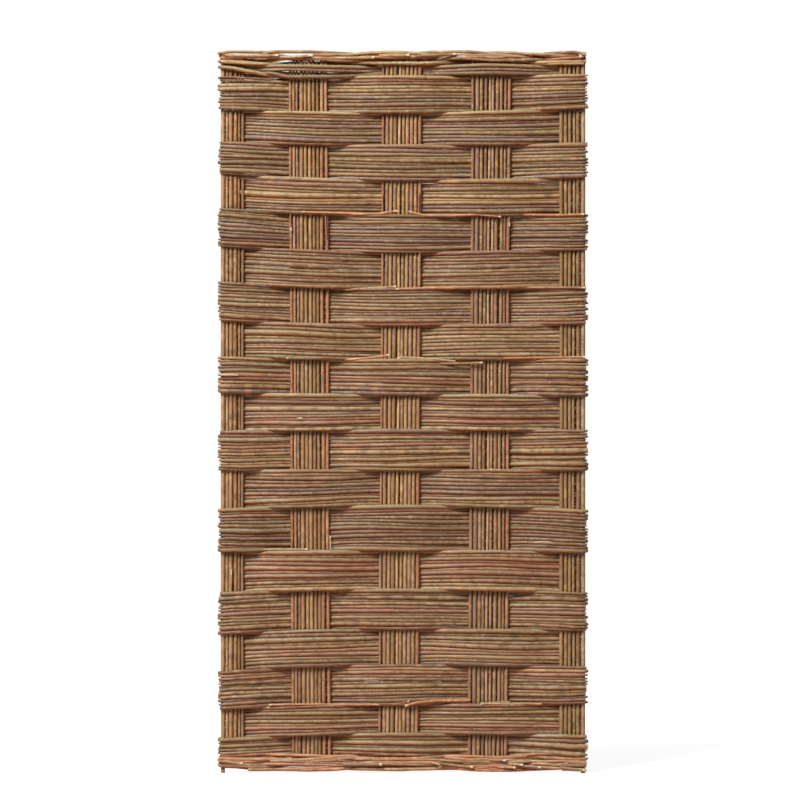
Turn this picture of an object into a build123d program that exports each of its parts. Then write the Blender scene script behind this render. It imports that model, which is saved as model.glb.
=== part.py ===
from build123d import *

import os
from math import pi, sin

# Woven willow fence panel in bunch weave. Millimetres, +Z up, front towards -Y.
# The origin is at the bottom centre of the panel, on the level of the stakes' feet.

# Driving dimensions of the whole panel
PANEL_HEIGHT = 1800.0
PANEL_WIDTH = 909.0
WEAVE_TOP = 1770.0

# Upright bunches from left to right: bottom centre, top centre, number of rods, spacing of the rods
INNER_BUNCHES = {
    "upright_bunch_left": (-228.0, -236.0, 10, 9.9),
    "upright_bunch_middle": (-12.0, -2.0, 10, 10.1),
    "upright_bunch_right": (211.0, 220.0, 10, 10.1),
}
UPRIGHT_RADII = (4.9, 4.5)
UPRIGHT_FOOT = 13.0
UPRIGHT_TOP = 1784.0

# Thick end stakes, with five thinner rods beside each of them
STAKE_RADIUS = 6.0
STAKE_TOP = 1788.0
EDGE_RODS = 5
EDGE_ROD_SPACING = 9.7
EDGE_ROD_RADII = (4.7, 4.5)

# Weft bunches from the top of the weave to the bottom: number of rods, height in mid panel
WEFT_BUNCHES = (
    (3, 36.0), (9, 91.0), (8, 80.0), (9, 87.0), (9, 87.0), (9, 92.0), (9, 91.0),
    (9, 91.0), (9, 86.0), (9, 87.0), (9, 87.0), (10, 101.0), (9, 88.0), (11, 111.0),
    (10, 98.0), (10, 98.0), (9, 90.0), (10, 98.0), (7, 72.0), (5, 53.0),
)
WEFT_RADII = (4.7, 4.2)
ROW_GAP = 1.6
WEFT_SWING = 16.0
WEFT_SWING_AT_EDGE_ROD = 9.3
WEFT_FAN = 0.03
FRONT_END_OVERHANG = 7.5
BACK_END_INSET = 2.0
END_RAGGEDNESS = 2.5

# The weft bows: its ends stand higher than mid panel in the upper half, and lower in the lower half
BOW_LEFT = 12.0
BOW_RIGHT = 5.0

# Borders: two twisted pairs of thin rods along the top, and two along the bottom
BORDER_PAIRS = 2
TOP_BORDER_ROD_RADIUS = 3.7
BOTTOM_BORDER_ROD_RADIUS = 4.4
BORDER_LIFT = 1.03
BORDER_END_OVERHANG = 3.5

HALF_WIDTH = PANEL_WIDTH / 2
WEAVE_BOTTOM = WEAVE_TOP - sum(height for _, height in WEFT_BUNCHES)
WEAVE_MIDDLE = (WEAVE_TOP + WEAVE_BOTTOM) / 2
STAKE_X = HALF_WIDTH - STAKE_RADIUS
EDGE_BUNCH_X = STAKE_X - STAKE_RADIUS - EDGE_ROD_SPACING * EDGE_RODS / 2
INNERMOST_EDGE_ROD_X = EDGE_BUNCH_X - (EDGE_RODS - 1) * EDGE_ROD_SPACING / 2
END_FAN = 1.4 * WEFT_FAN


def bunch_centre(name, height):
    """X of an inner upright bunch at a height: the bunches lean a little."""
    foot_x, top_x, _, _ = INNER_BUNCHES[name]
    return foot_x + (top_x - foot_x) * height / PANEL_HEIGHT


def side_of(row, bunch):
    """-1 where a weft row passes in front of an upright bunch, and +1 where it passes behind."""
    return -1 if (row + bunch) % 2 == 0 else 1


def make_end_stake(name, side):
    """Round stake with a flat-cut foot."""
    with BuildPart() as end_stake:
        with BuildSketch(Plane.XY):
            with Locations((side * STAKE_X, 0)):
                Circle(STAKE_RADIUS)
        extrude(amount=STAKE_TOP)
    end_stake.part.label = name
    export_step(end_stake.part, f"parts/{name}.step")


def make_upright_bunch(name, foot_x, top_x, rods, spacing, radii):
    """Rods side by side in one flat layer, thick and thin ones turn about."""
    lean = Vector(top_x - foot_x, 0, PANEL_HEIGHT)
    with BuildPart() as upright_bunch:
        for rod in range(rods):
            rod_x = foot_x + (rod - (rods - 1) / 2) * spacing
            with BuildSketch(Plane.XY.offset(UPRIGHT_FOOT)):
                with Locations((rod_x, 0)):
                    RegularPolygon(radius=radii[rod % 2], side_count=6)
            extrude(dir=lean, amount=UPRIGHT_TOP - UPRIGHT_FOOT, clean=False)
    upright_bunch.part.label = name
    export_step(upright_bunch.part, f"parts/{name}.step")


def make_woven_rods(name, rods):
    """Rods that run across the panel, each a hexagonal section swept along its own bent line.

    A rod is its radius and the points where it bends. The corners of the section point up and
    down, so that neighbouring rods meet along an edge, as round ones do.
    """
    with BuildPart() as woven_rods:
        for radius, points in rods:
            with BuildLine():
                Polyline(*points)
            with BuildSketch(Plane(origin=points[0], x_dir=(0, 1, 0), z_dir=(1, 0, 0))):
                RegularPolygon(radius=radius, side_count=6, rotation=30)
            sweep(transition=Transition.RIGHT, clean=False)
    woven_rods.part.label = name
    export_step(woven_rods.part, f"parts/{name}.step")


def end_swing(centre_x, end_x):
    """How far a woven rod stands off at its end, if it leaves the last inner bunch, at centre_x,
    on one side and just clears the innermost edge rod on the other."""
    slope = (WEFT_SWING + WEFT_SWING_AT_EDGE_ROD) / (INNERMOST_EDGE_ROD_X - abs(centre_x))
    return WEFT_SWING_AT_EDGE_ROD + slope * (end_x - INNERMOST_EDGE_ROD_X)


def bow(row_middle, x):
    """How far a weft bunch lies above or below its height in mid panel."""
    most = BOW_LEFT if x < 0 else BOW_RIGHT
    return most * sin(pi * (row_middle - WEAVE_MIDDLE) / (WEAVE_TOP - WEAVE_MIDDLE)) * (x / HALF_WIDTH) ** 2


def weft_points(row, rod, from_middle, row_middle):
    """Bends of one weft rod: it swings in front of and behind the upright bunches."""
    overhang = FRONT_END_OVERHANG if side_of(row, 0) < 0 else -BACK_END_INSET
    end_x = HALF_WIDTH + overhang
    ragged = END_RAGGEDNESS * sin(2.1 * rod + row)
    centres = [bunch_centre(name, row_middle) for name in INNER_BUNCHES]
    bends = [(-end_x - ragged, end_swing(centres[0], end_x), END_FAN, side_of(row, 0))]
    for bunch, centre_x in enumerate(centres, start=1):
        bends.append((centre_x, WEFT_SWING, WEFT_FAN, side_of(row, bunch)))
    bends.append((end_x - ragged, end_swing(centres[-1], end_x), END_FAN, side_of(row, 4)))
    return [(x, swing * side, row_middle + bow(row_middle, x) + from_middle * (1 - fan * side))
            for x, swing, fan, side in bends]


def make_weft_bunch(row, rods, row_top, row_height):
    """One bunch of weft rods, which weave together as one strand."""
    row_middle = row_top - row_height / 2
    spacing = (row_height - ROW_GAP) / rods
    bunch = []
    for rod in range(rods):
        from_middle = ((rods - 1) / 2 - rod) * spacing
        bunch.append((WEFT_RADII[rod % 2], weft_points(row, rod, from_middle, row_middle)))
    make_woven_rods(f"weft_bunch_{row:02d}", bunch)


def border_points(height, radius, first_side):
    """Bends of one rod of a twisted pair: between the bunches it crosses over or under its mate."""
    end_x = HALF_WIDTH + BORDER_END_OVERHANG
    inner_centres = [bunch_centre(name, height) for name in INNER_BUNCHES]
    centres = [-EDGE_BUNCH_X] + inner_centres + [EDGE_BUNCH_X]
    side = first_side
    points = [(-end_x, end_swing(inner_centres[0], end_x) * side, height)]
    for bunch in range(1, len(centres)):
        crossing_x = (centres[bunch - 1] + centres[bunch]) / 2
        points.append((crossing_x, 0, height - BORDER_LIFT * radius * side))
        side = -side
        if centres[bunch] in inner_centres:
            points.append((centres[bunch], WEFT_SWING * side, height))
    points.append((end_x, end_swing(inner_centres[-1], end_x) * side, height))
    return points


def make_border(border, top, radius, first_row):
    """Two twisted pairs of rods, one above the other, which lock the ends of the upright rods."""
    pair_height = 2 * (1 + BORDER_LIFT) * radius
    for pair in range(BORDER_PAIRS):
        height = top - (pair + 0.5) * pair_height
        front_side = side_of(first_row + pair, 0)
        for strand, first_side in (("a", front_side), ("b", -front_side)):
            points = border_points(height, radius, first_side)
            make_woven_rods(f"{border}_border_rod_{pair + 1}{strand}", [(radius, points)])


os.makedirs("parts", exist_ok=True)

make_end_stake("left_end_stake", -1)
make_end_stake("right_end_stake", 1)

for edge_name, edge_side in (("upright_bunch_left_edge", -1), ("upright_bunch_right_edge", 1)):
    make_upright_bunch(edge_name, edge_side * EDGE_BUNCH_X, edge_side * EDGE_BUNCH_X,
                       EDGE_RODS, EDGE_ROD_SPACING, EDGE_ROD_RADII)
for bunch_name, (foot_x, top_x, rods, spacing) in INNER_BUNCHES.items():
    make_upright_bunch(bunch_name, foot_x, top_x, rods, spacing, UPRIGHT_RADII)

row_top = WEAVE_TOP
for row, (rods, row_height) in enumerate(WEFT_BUNCHES, start=1):
    make_weft_bunch(row, rods, row_top, row_height)
    row_top -= row_height

make_border("top", PANEL_HEIGHT, TOP_BORDER_ROD_RADIUS, 0)
make_border("bottom", WEAVE_BOTTOM, BOTTOM_BORDER_ROD_RADIUS, len(WEFT_BUNCHES) + 1)
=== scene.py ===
import math
import random

import bpy
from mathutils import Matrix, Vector


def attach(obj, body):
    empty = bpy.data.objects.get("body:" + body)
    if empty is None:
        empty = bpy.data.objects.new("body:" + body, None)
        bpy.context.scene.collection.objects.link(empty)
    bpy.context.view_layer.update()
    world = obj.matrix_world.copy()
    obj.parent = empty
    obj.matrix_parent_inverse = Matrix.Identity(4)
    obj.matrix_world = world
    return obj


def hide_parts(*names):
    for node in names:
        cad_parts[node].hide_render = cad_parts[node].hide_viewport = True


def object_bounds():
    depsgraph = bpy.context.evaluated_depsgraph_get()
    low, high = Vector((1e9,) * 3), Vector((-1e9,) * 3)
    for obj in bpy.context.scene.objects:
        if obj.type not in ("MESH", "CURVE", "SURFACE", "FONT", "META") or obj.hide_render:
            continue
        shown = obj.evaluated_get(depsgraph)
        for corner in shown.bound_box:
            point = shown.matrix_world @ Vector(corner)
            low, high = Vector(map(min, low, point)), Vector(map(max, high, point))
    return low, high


bl_info = {
    "name": "Woven Willow Fence Panel",
    "version": (1, 0, 0),
    "blender": (4, 5, 0),
    "location": "3D View > Sidebar > Willow Panel",
    "description": "Dresses a bunch-woven willow panel with bark-on rods, borders and a plain stage",
    "category": "Object",
}

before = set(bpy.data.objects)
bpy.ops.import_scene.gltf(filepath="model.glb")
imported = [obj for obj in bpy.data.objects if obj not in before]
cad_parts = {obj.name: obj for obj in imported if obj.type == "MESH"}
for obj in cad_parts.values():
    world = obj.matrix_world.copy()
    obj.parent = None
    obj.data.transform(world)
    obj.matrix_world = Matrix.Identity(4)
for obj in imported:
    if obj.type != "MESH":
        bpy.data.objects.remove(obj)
CAD_LOW, CAD_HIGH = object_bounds()

# The panel and its stakes. Sizes are in millimetres, but for those of the settings and the stage
MM = 0.001
PANEL_HEIGHT = 1800.0
HALF_WIDTH = 454.5
STAKE_RADIUS = 6.0
STAKE_X = HALF_WIDTH - STAKE_RADIUS
STAKE_TOP = 1788.0
# The stakes are grown a little thinner, so that the rods bent round them stay clear
GROWN_STAKE_RADIUS = 5.4

# Inner upright bunches: middle at the foot and at the top, number of rods and their spacing
INNER_BUNCHES = {
    "upright_bunch_left": (-228.0, -236.0, 10, 9.9),
    "upright_bunch_middle": (-12.0, -2.0, 10, 10.1),
    "upright_bunch_right": (211.0, 220.0, 10, 10.1),
}
# Bunches beside the stakes: middle, spacing of the rods and lightness of their bark
EDGE_BUNCHES = {
    "upright_bunch_left_edge": (-418.6, 9.4, 1.3),
    "upright_bunch_right_edge": (415.5, 10.7, 1.06),
}
EDGE_RODS = 5
INNER_EDGE_ROD_X = 398.85
INNER_FOOT = 27.0
EDGE_FOOT = 16.0
UPRIGHT_TOP = 1784.0
UPRIGHT_STEPS = 44
UPRIGHT_RADIUS = (3.3, 5.4)
UPRIGHT_GAPS = (0.7, 1.0, 1.4, 1.9, 2.6)
UPRIGHT_TONES = (0.14, 0.3, 0.45, 0.55, 0.62, 0.7, 0.74, 0.2)
UPRIGHT_SEED = 41

# Weft bunches from the top: rods, height in mid panel, lift of the bottom edge at the left and right end
WEFT_BUNCHES = (
    (3, 36, 2, 4), (11, 91, 7, 12), (10, 80, 7, 5), (10, 87, 17, 7), (10, 87, 15, 1), (12, 92, 15, 6),
    (11, 91, 15, 3), (12, 91, 12, 5), (10, 86, 6, 2), (10, 87, 5, -2), (11, 87, -4, -2), (12, 101, 1, 0),
    (11, 88, -9, -11), (13, 111, -3, -5), (11, 98, -7, -9), (12, 98, -12, -3), (10, 90, -16, -5),
    (12, 98, -11, 4), (9, 72, -13, -5), (6, 53, -8, -12),
)
WEAVE_TOP = 1770.0
# Lift of the top edge at both ends, and how far from mid panel every lift is reached
TOP_EDGE_LIFT = 2.0
LIFT_X = 440.0
# A rod has its full taper at TAPER_X, and swells and thins by a share of its thickness
TAPER_X = 450.0
SWELLING = 0.14
# All diameters of a bunch's rods added up, over its height, and how much further back every other rod lies
PACKING = 1.13
DEPTH_STEP = 3.0
# How far a weft row stands off, at places from mid panel and at places beside the middle of an inner bunch
PAST_THE_ENDS = 470.0
DEEPEST = 10.9
END_SWING = ((PAST_THE_ENDS, 9.8), (STAKE_X, 10.2), (424, 10.6), (INNER_EDGE_ROD_X, 9.8))
INNER_SWING = ((-48, 9.6), (-24, 10.5), (0, DEEPEST), (24, 10.5), (48, 9.6))
# Where the rods of a bunch begin to spread, and over what length they do
ENDS_FROM = 410
ENDS_LENGTH = 35.0
# How far a border rod stands off, how far before and after a crossing it does, and the usual crossings
BORDER_SWING = 9.4
BORDER_CHANGE = 48
BORDER_CROSSINGS = (-323, -120, 104, 316)
LAID_IN_SEED = 17
# Angles of the points where a border rod bends round the stake, how far back it runs, and how far up
HOOK_TURNS = (-50, 0, 50, 90)
HOOK_LENGTH = 26
HOOK_LIFT = {"top": -3.0, "bottom": 6.0}
# Largest radius of a filler rod, and least depth of the rods that close the gaps between the fillers
THICKEST_FILLER = 4.9
GAP_ROD_DEPTH = 8.5
# Reach of a rod that passes behind the stake, and the least reach of one that thins out in front of it
HIDDEN_END = (449.5, 452.5)
THIN_END = 456.0
# Of the rods that pass in front: the share bent round the stake, and the share bent or cut square
BENT = 0.45
BENT_OR_CUT = 0.8
# Angles of the points where a weft rod bends round the stake, and how far back it runs
BEND_TURNS = (-45, 0, 45, 90)
TURNED_BACK = (28, 44)
# Radius at the end of a rod, as a share of the radius before it
END_SHARE = 0.97
# Furthest reach of weft rods and border rods to the sides, and of any rod upwards, back and forward
WIDEST = 462.0
BORDER_WIDEST = 463.6
TOP = CAD_HIGH[2] / MM - 0.6
BACK = CAD_HIGH[1] / MM - 0.7
FRONT = CAD_LOW[1] / MM + 0.7

# Lines (x, z) of the three filler rods under the top border and of the edge below them, and the heights and
# the share with which the rods of the next bunch fan out at their left ends
FILLER_LINES = (
    ((-451, 1760.5), (-281, 1759.5), (-132, 1757.5), (55, 1757.5), (217, 1761.5), (329, 1758.5),
     (451, 1756.5)),
    ((-451, 1750.5), (-281, 1751.5), (-132, 1748), (55, 1747.5), (217, 1752), (329, 1750), (451, 1748)),
    ((-451, 1740.5), (-331, 1742), (-281, 1732.5), (-182, 1733), (-45, 1738.5), (217, 1742), (451, 1739)),
)
BELOW_FILLERS = ((-451, 1731), (451, 1732))
LEFT_FAN = (1757, 1732, 1724, 1711, 1702, 1694.5, 1687, 1679, 1671, 1663.5, 1656)
FAN_SHARE = ((-455, -375, -290), (1.0, 0.5, 0.0))

# Border rods: side at the left stake, radius, tone, where each one changes sides, and its line (x, z)
BORDER_RODS = {
    "top_border_rod_1a": (-1, 4.1, 0.6, (-386, -177, 92, 281), (
        (-458, 1792.5), (-426, 1795.5), (-393, 1796), (-351, 1796), (-319, 1792), (-281, 1783),
        (-232, 1781.5), (-169, 1784), (-120, 1789), (-70, 1792.5), (-20, 1794), (30, 1791.5),
        (67, 1786.5), (117, 1785), (167, 1789.5), (209, 1793.5), (254, 1794.5), (316, 1790), (378, 1788),
        (456, 1789))),
    "top_border_rod_1b": (1, 4.1, 0.36, (-386, -177, 92, 281), (
        (-458, 1786.5), (-406, 1783), (-371, 1783.5), (-346, 1789), (-321, 1795.5), (-294, 1796),
        (-234, 1795), (-182, 1793), (-132, 1791), (-82, 1785), (-32, 1783), (5, 1785), (30, 1790.5),
        (62, 1794.5), (105, 1795.5), (142, 1795.5), (187, 1793.5), (229, 1787), (279, 1784.5),
        (329, 1786.5), (378, 1791.5), (428, 1794.5), (456, 1792))),
    "top_border_rod_2a": (1, 4.0, 0.86, (-323, -120, 104, 316), (
        (-456, 1779.5), (-406, 1777.5), (-336, 1772.5), (-276, 1778.5), (-182, 1779.5), (-132, 1777.5),
        (-82, 1774.5), (5, 1777), (92, 1779), (129, 1781.5), (217, 1782.5), (271, 1784), (316, 1781),
        (366, 1776.5), (456, 1780))),
    "top_border_rod_2b": (-1, 4.0, 0.5, (-323, -120, 104, 316), (
        (-451, 1772.5), (-406, 1770), (-336, 1765.5), (-256, 1769), (-144, 1769), (-47, 1766.5),
        (52, 1767), (105, 1769.5), (217, 1769.5), (329, 1769), (456, 1771.5))),
    "bottom_border_rod_1a": (1, 4.4, 0.82, (-336, -127, 104, 316), (
        (-453, 23.5), (-393, 22.5), (-344, 29), (-281, 31.5), (-232, 35), (-169, 40.5), (-144, 42.5),
        (-107, 41.5), (-45, 37.5), (42, 35), (92, 38.5), (142, 36), (167, 34), (242, 39), (291, 42),
        (334, 43), (366, 40), (403, 35), (456, 27.5))),
    "bottom_border_rod_1b": (-1, 4.4, 0.8, (-336, -127, 104, 316), (
        (-458, 30.5), (-426, 32), (-386, 35), (-321, 40), (-284, 42), (-207, 38.5), (-132, 38.5),
        (-70, 36.5), (2, 36), (95, 41), (152, 43), (217, 40), (266, 35), (316, 38.5), (334, 41.5),
        (366, 37.5), (403, 36), (456, 35))),
    "bottom_border_rod_2a": (-1, 4.3, 0.33, (-323, -120, 104, 316), (
        (-456, 18.5), (-406, 18.5), (-369, 15.5), (-319, 17.5), (-256, 21), (-207, 26), (-152, 28.5),
        (-45, 27), (67, 25), (105, 22), (154, 18.5), (217, 18), (254, 22.5), (296, 22), (341, 27.5),
        (391, 30.5), (456, 26))),
    "bottom_border_rod_2b": (1, 4.3, 0.996, (-323, -120, 104, 316), (
        (-443, 15), (-406, 13.5), (-371, 10), (-346, 8.5), (-306, 9.5), (-232, 8.5), (-152, 11.5),
        (-127, 13.5), (-95, 12.5), (-45, 9), (-7, 8), (30, 10), (55, 13.5), (105, 15), (154, 10.5),
        (192, 8), (266, 7.5), (316, 9), (381, 10.5), (428, 15), (456, 17.5))),
}

# More rods laid into the borders: side at the left stake, radius, height, tone and where each starts and ends
LAID_IN_RODS = {
    "top_border_laid_in_rods": (
        (1, 4.1, 1786, 0.34, -225, 452), (1, 4.0, 1775.5, 0.3, -448, 440), (-1, 4.1, 1779.5, 0.9, -455, 450),
        (-1, 4.0, 1787.5, 0.7, -225, 455), (-1, 3.8, 1766.5, 0.62, -452, 450), (1, 4.0, 1783, 0.45, 110, 455),
    ),
    "bottom_border_laid_in_rods": (
        (1, 4.2, 12.5, 0.9, -372, 452), (1, 4.3, 27, 0.3, -450, 440), (1, 4.3, 43, 1.0, -452, 452),
        (-1, 4.3, 19.5, 0.14, -446, 456), (-1, 4.3, 34.5, 0.995, -456, 450), (-1, 4.2, 45, 0.93, -455, 452),
        (1, 4.2, 20, 0.88, -452, 455), (1, 4.2, 35, 0.2, -452, 455), (-1, 4.1, 12, 0.75, -385, 452),
        (-1, 4.2, 27, 0.62, -453, 455), (1, 4.2, 30.5, 0.45, -452, 455), (-1, 4.2, 22, 0.3, 120, 457),
        (1, 4.2, 15, 0.9, 150, 455),
    ),
}
# Short rods behind the left end that close the gaps of the fan: line (x, y, z)
FAN_BACKING = (
    ((-452, 9, 1767.5), (-415, 9, 1768), (-370, 8, 1768)),
    ((-452, 9, 1733), (-370, 9, 1735.5), (-290, 5, 1734)),
    ((-452, 9, 1717.5), (-415, 9, 1717.5), (-375, 7, 1717.5)),
    ((-405, 8, 1722), (-340, 6, 1721.5), (-280, 2, 1721)),
)

# Short cut ends in the bottom border: start, end (x, y, z) and radius
STUBS = (
    ((-150, -12, 22), (-53, -15.4, 22.5), 4.6), ((95, -10, 24), (173, -15.8, 15.5), 3.8),
    ((215, -12, 33), (255, -16, 32), 3.2), ((235, -11, 16), (279, -16.2, 14), 3.6),
    ((262, -10, 24), (298, -15.8, 21), 3.8), ((300, -10, 18), (342, -16.2, 15), 3.6),
    ((392, -11, 15), (452, -14, 7), 3.4), ((396, -3, 9), (456, -4, 7), 3.4),
    ((-452, -15, 30), (-400, -11, 24), 3.4),
)
# Rods whose ends show in front of the weave: line (x, y, z), radius and tone
ENDING_RODS = (
    (((-443, -11, 1785), (-380, -13, 1784.5), (-311, -15.5, 1785.5)), 4.0, 0.5),
    (((-331, -6, 1781), (-281, -13, 1781.5), (-229, -15.8, 1785)), 4.0, 0.86),
    (((-182, -8, 1780), (-127, -13, 1779.5), (-72, -15.8, 1780.5)), 3.8, 0.6),
    (((-60, -10, 1786), (-20, -13, 1785.5), (15, -15.5, 1786)), 3.8, 0.4),
    (((350, -6, 1790), (410, -13, 1793.5), (436, -15, 1792.5), (443, -16, 1782)), 4.0, 0.3),
    (((30, -14, 1783), (80, -14.5, 1787), (130, -12, 1789)), 3.6, 0.36),
    (((-150, -3, 1389), (-110, -9, 1391), (-60, -11, 1393), (-15, -12, 1399)), 3.0, 0.996),
    (((225, -8, 1392), (172, -11, 1390), (120, -12, 1388), (60, -12.5, 1388), (40, -13, 1391),
      (15, -15, 1397)), 3.0, 1.0),
    (((-145, -3, 1203), (-77, -10, 1207), (-18, -12, 1211)), 2.9, 0.4),
    (((172, -5, 1208), (67, -11, 1207), (-17, -14.5, 1204.5)), 3.0, 0.997),
    (((-145, -3, 1029), (-77, -10, 1034.5), (-35, -14, 1040.5)), 3.0, 0.995),
    (((-60, -11, 170.5), (-150, -9.5, 171), (-200, -13, 172), (-262, -15.5, 171.5), (-333, -10, 170)),
     2.8, 0.997),
    (((345, -7, 172), (300, -9, 173), (235, -15.5, 173), (194, -16.5, 174.5)), 2.7, 0.996),
    (((-100, -9, 1392), (-150, -9.5, 1393.5), (-200, -13, 1395), (-250, -15.5, 1396.5)), 2.6, 0.994),
    (((300, -7, 1390), (350, -10, 1389), (400, -14.5, 1389), (450, -15, 1390.5)), 2.7, 0.998),
    (((270, -7, 1207), (330, -9, 1208.5), (400, -14.5, 1208.5), (452, -15, 1207.5)), 2.7, 0.97),
    (((-145, -5, 1033), (-190, -12, 1033.5), (-235, -15, 1032), (-290, -11, 1033)), 2.6, 0.95),
    (((250, -12, 1033), (330, -9.5, 1034), (400, -14.5, 1035), (452, -15, 1036)), 2.7, 0.993),
    (((130, -3, 1025), (67, -10, 1031), (2, -12, 1034), (-14, -14.5, 1032)), 3.2, 0.6),
    (((92, -4, 1019), (147, -11, 1020), (197, -13.5, 1021.5)), 2.8, 0.36),
    (((345, -3, 753), (279, -10, 754), (216, -13.5, 755.5)), 2.9, 0.93),
    (((-95, -4, 170), (-27, -11, 172), (15, -13, 180)), 3.1, 0.32),
    (((167, -3, 181), (92, -10, 180.5), (42, -12, 177), (20, -14, 172), (6, -16, 167.5)), 3.9, 0.998),
    (((266, -8, 177), (230, -13, 176), (194, -16, 172.5)), 3.0, 0.5),
    (((-351, -4, 556), (-286, -12, 557), (-238, -15, 557)), 3.0, 0.55),
    (((129, -4, 1391), (187, -10, 1389), (242, -13, 1384.5)), 2.5, 0.9),
)
# Thin shoots beside the upright bunches: line (x, y, z), radius and tone
SHOOTS = (
    (((-280, -6, 1400), (-280, -7, 1375), (-278, -6.5, 1351)), 2.0, 0.9),
    (((-193, -6, 1400), (-192, -7, 1365), (-190, -6, 1330)), 2.0, 0.9),
    (((265, -6, 1392), (265, -7, 1378), (265, -6.5, 1364)), 1.9, 0.8),
    (((-51, -6, 1440), (-51, -6.5, 1415), (-51, -6, 1385)), 2.3, 0.9),
    (((39, -6, 1440), (39, -6.5, 1415), (38, -6, 1385)), 2.3, 0.88),
    (((-51, -6, 1310), (-51, -6.5, 1285), (-50, -6, 1262)), 2.4, 0.9),
    (((42, -6, 1310), (42, -6.5, 1285), (42, -6, 1261)), 2.4, 0.9),
    (((-276, -6, 579), (-276, -7, 569), (-276, -6, 558)), 1.9, 0.84),
    (((-427, -7, 496), (-427, -8, 475), (-428, -7, 450)), 2.0, 0.78),
)
# Peeled spots, where pale wood shows: line (x, y, z) and radius
PEELS = (
    (((-455, -19, 991), (-432, -20, 991.5), (-410, -19, 990.5)), 1.6),
    (((-262, -19.5, 884), (-250, -20, 884)), 1.5),
    (((326, -19, 575), (348, -20, 576), (368, -19, 575)), 1.5),
    (((72, -14, 27), (84, -16, 24.5), (91, -15, 21)), 1.7),
    (((-181, -4, 590), (-181, -6, 565), (-181, -5, 540)), 1.4),
    (((-427, -8.5, 507), (-427, -9, 500), (-427, -8, 493)), 2.1),
    (((-278.5, -7, 1358), (-278, -8, 1350)), 2.1),
    (((265, -8, 1369), (265, -8, 1361)), 2.0),
)

# Grain of the bark across the panel and up it, and the barks: grain, redness low down and lightness
ACROSS = (0.16, 1.0, 1.0)
UPWARDS = (1.0, 1.0, 0.16)
UPRIGHT_REDNESS = 0.08
BARKS = {
    "Upright bark": (UPWARDS, UPRIGHT_REDNESS, 1.25),
    "Weft bark": (ACROSS, 0.22, 1.0),
    "Border bark": (ACROSS, 0.22, 1.36),
}
# Colours of grey patches, pale flecks and the grain of cut wood, and the tints of painted shade under the
# bark and painted highlight on top of it
GREY_PATCH = (0.35, 0.27, 0.175, 1.0)
PALE_FLECK = (0.55, 0.42, 0.28, 1.0)
DARK_GRAIN = (0.52, 0.34, 0.18, 1.0)
PAINTED_SHADE_TINT = (1.26, 0.61, 0.29, 1.0)
PAINTED_HIGHLIGHT_TINT = (0.88, 1.08, 1.15, 1.0)
# Short rods have their rings close together, and buds so far apart that one at most grows on each
SHORT_ROD = {"Bud Spacing": 1.0, "Step": 0.006}

# The stage, in metres but for the sensor: the camera looks straight at the panel, the lamps at its middle.
# A lamp has its name, the setting of its power, its size and its place
SENSOR = 36.0
CAMERA_DISTANCE = 12.0
CAMERA_X = -0.0075
CAMERA_HEIGHT = 0.9288
VIEW_WIDTH = 1.992
LAMP_TARGET = Vector((0, 0, 0.9))
LAMPS = (
    ("Main lamp", "key_power", 5.6, (-4.9, -7.0, 9.1)),
    ("Front lamp", "fill_power", 4.0, (2.5, -9.0, 2.2)),
    ("Back lamp", "back_power", 4.0, (3.5, 8.0, 6.0)),
)
SKY_COLOUR = (1.0, 0.70, 0.46, 1.0)
WHITE = (1.0, 1.0, 1.0, 1.0)
FLOOR_RADIUS = 4.5
FLOOR_CORNERS = 64
FLOOR_GLOW = 0.8


# Settings

def colour_setting(name, description, default):
    """A colour that a user may change."""
    return bpy.props.FloatVectorProperty(name=name, description=description, default=default, size=3, min=0,
                                         max=1, subtype="COLOR")


def length_setting(name, description, default, least):
    """A length in metres that a user may change."""
    return bpy.props.FloatProperty(name=name, description=description, default=default, min=least,
                                   unit="LENGTH", subtype="DISTANCE")


def power_setting(name, description, default):
    """A lamp's power that a user may change."""
    return bpy.props.FloatProperty(name=name, description=description, default=default, min=0.0, unit="POWER")


class WillowRodSettings(bpy.types.PropertyGroup):
    """How the willow rods are grown"""
    sides: bpy.props.IntProperty(
        name="Sides", description="Faces round each weft, upright and border rod", default=9, min=5, max=16)
    step: length_setting("Step", "Distance between the rings of a rod", 0.0085, 0.002)
    uneven: bpy.props.FloatProperty(
        name="Unevenness", description="How much a rod's thickness varies along it", default=0.10, min=0.0,
        max=0.4, subtype="FACTOR")
    kink: length_setting("Kink", "How far a rod wanders from its line", 0.0008, 0.0)
    bud_spacing: length_setting(
        "Bud Spacing", "Distance between the buds and leaf scars on a rod", 0.034, 0.01)
    bud_size: length_setting("Bud Size", "Length of a bud", 0.0042, 0.001)
    seed: bpy.props.IntProperty(name="Seed", description="Changes the rods' chance differences", default=7)


class WillowBarkSettings(bpy.types.PropertyGroup):
    """Colours of the bark and of the cut wood"""
    grey: colour_setting("Grey Bark", "Purple-grey rods", (0.216, 0.137, 0.098))
    brown: colour_setting("Brown Bark", "Plain brown rods", (0.230, 0.127, 0.060))
    olive: colour_setting("Olive Bark", "Olive-brown rods", (0.245, 0.166, 0.076))
    ochre: colour_setting("Ochre Bark", "Yellowish rods", (0.332, 0.221, 0.106))
    russet: colour_setting("Russet Bark", "Reddish rods", (0.254, 0.119, 0.065))
    orange: colour_setting("Orange Bark", "The few bright orange rods", (0.47, 0.185, 0.075))
    cut_wood: colour_setting("Cut Wood", "Pale wood where a rod was cut", (0.80, 0.66, 0.46))


class WillowStageSettings(bpy.types.PropertyGroup):
    """Floor and light round the panel"""
    floor: colour_setting("Floor", "Colour of the floor", (0.34, 0.34, 0.34))
    key_power: power_setting("Main Lamp", "Power of the soft lamp at the upper left", 2400.0)
    fill_power: power_setting("Front Lamp", "Power of the soft lamp in front of the panel", 10.0)
    back_power: power_setting("Back Lamp", "Power of the soft lamp behind the panel", 700.0)
    sky: bpy.props.FloatProperty(
        name="Sky", description="Strength of the light from all round", default=0.04, min=0.0)


# Node helpers

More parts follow.
